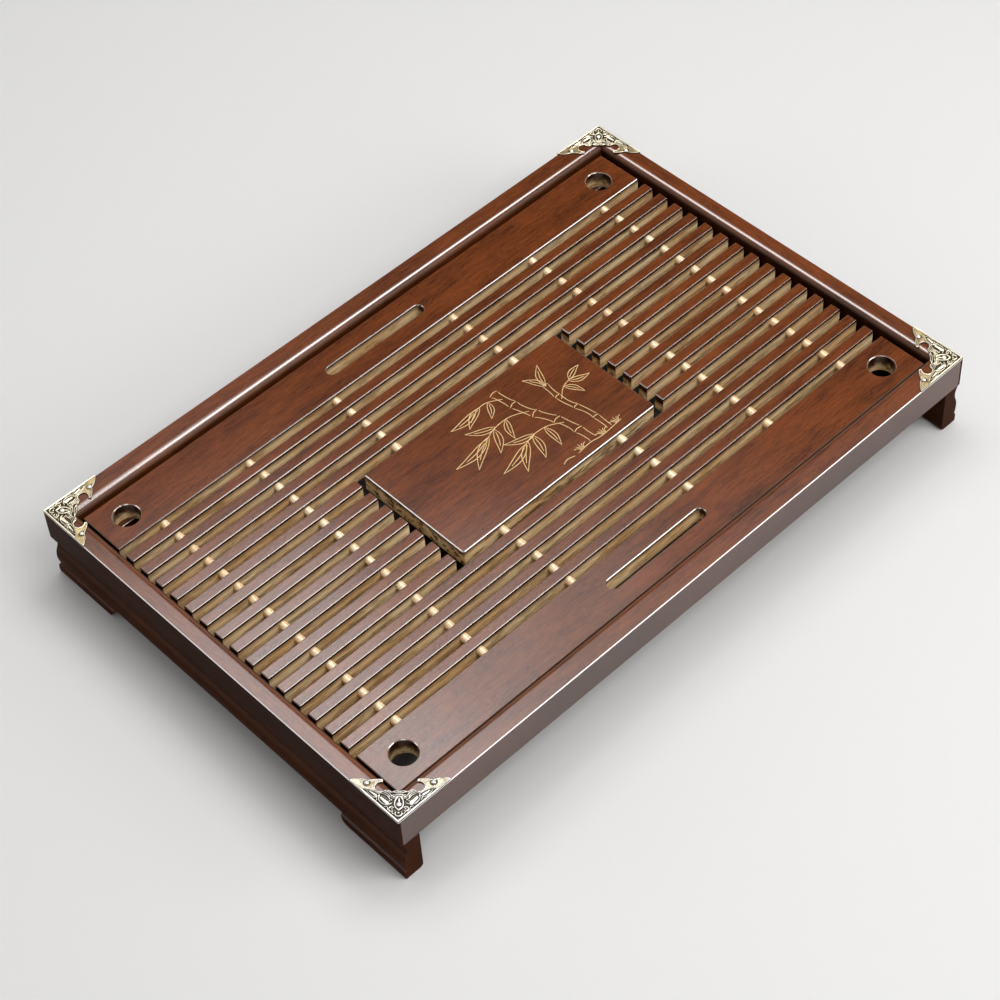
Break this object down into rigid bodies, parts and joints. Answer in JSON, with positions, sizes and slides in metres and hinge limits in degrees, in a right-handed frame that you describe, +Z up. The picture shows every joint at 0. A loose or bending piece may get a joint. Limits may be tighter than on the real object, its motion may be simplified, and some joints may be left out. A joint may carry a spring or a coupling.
{
  "type": "gongfu tea tray",
  "caption": "Low wooden tea tray with a lift-out slatted draining deck and plain centre plaque, moulded feet, metal corner brackets and a pull-out water pan.",
  "frame": {"origin": "on the table, under the middle of the tray", "axes": "+X along the slats and the long sides, +Y across them to the back, +Z up"},
  "size_m": [0.45, 0.3, 0.0558],
  "materials": {
    "frame_wood": "satin lacquer, walnut stain",
    "deck_wood": "satin lacquer, walnut stain on top, bare tan sides",
    "plaque_wood": "satin lacquer, walnut stain, gold line work",
    "dowel_wood": "natural pale wood",
    "ledge_wood": "dark stained wood",
    "antique_brass": "aged relief casting",
    "pan_plastic": "matt black"
  },
  "bodies": {
    "frame": {"bracket_back_left": "antique_brass", "bracket_back_right": "antique_brass", "bracket_front_left": "antique_brass", "bracket_front_right": "antique_brass", "bracket_nails": "antique_brass", "end_rail_left": "frame_wood", "end_rail_right": "frame_wood", "foot_board_left": "frame_wood", "foot_board_right": "frame_wood", "ledge_back": "ledge_wood", "ledge_front": "ledge_wood", "ledge_left": "ledge_wood", "ledge_right": "ledge_wood", "long_rail_back": "frame_wood", "long_rail_front": "frame_wood", "runner_left": "ledge_wood", "runner_right": "ledge_wood"},
    "deck": {"deck_board_back": "deck_wood", "deck_board_front": "deck_wood", "dowel_1": "dowel_wood", "dowel_2": "dowel_wood", "dowel_3": "dowel_wood", "dowel_4": "dowel_wood", "dowel_5": "dowel_wood", "dowel_6": "dowel_wood", "plaque": "plaque_wood", "slat_01": "deck_wood", "slat_02": "deck_wood", "slat_03": "deck_wood", "slat_04": "deck_wood", "slat_05_left": "deck_wood", "slat_05_right": "deck_wood", "slat_06_left": "deck_wood", "slat_06_right": "deck_wood", "slat_07_left": "deck_wood", "slat_07_right": "deck_wood", "slat_08_left": "deck_wood", "slat_08_right": "deck_wood", "slat_09_left": "deck_wood", "slat_09_right": "deck_wood", "slat_10_left": "deck_wood", "slat_10_right": "deck_wood", "slat_11_left": "deck_wood", "slat_11_right": "deck_wood", "slat_12": "deck_wood", "slat_13": "deck_wood", "slat_14": "deck_wood", "slat_15": "deck_wood"},
    "pan": {"water_pan": "pan_plastic"}
  },
  "joints": [
    {"name": "deck_lift", "type": "slide", "parent": "frame", "child": "deck", "axis": [0, 0, 1], "range_m": [0, 0.08]},
    {"name": "pan_slide", "type": "slide", "parent": "frame", "child": "pan", "axis": [0, -1, 0], "range_m": [0, 0.29]}
  ]
}
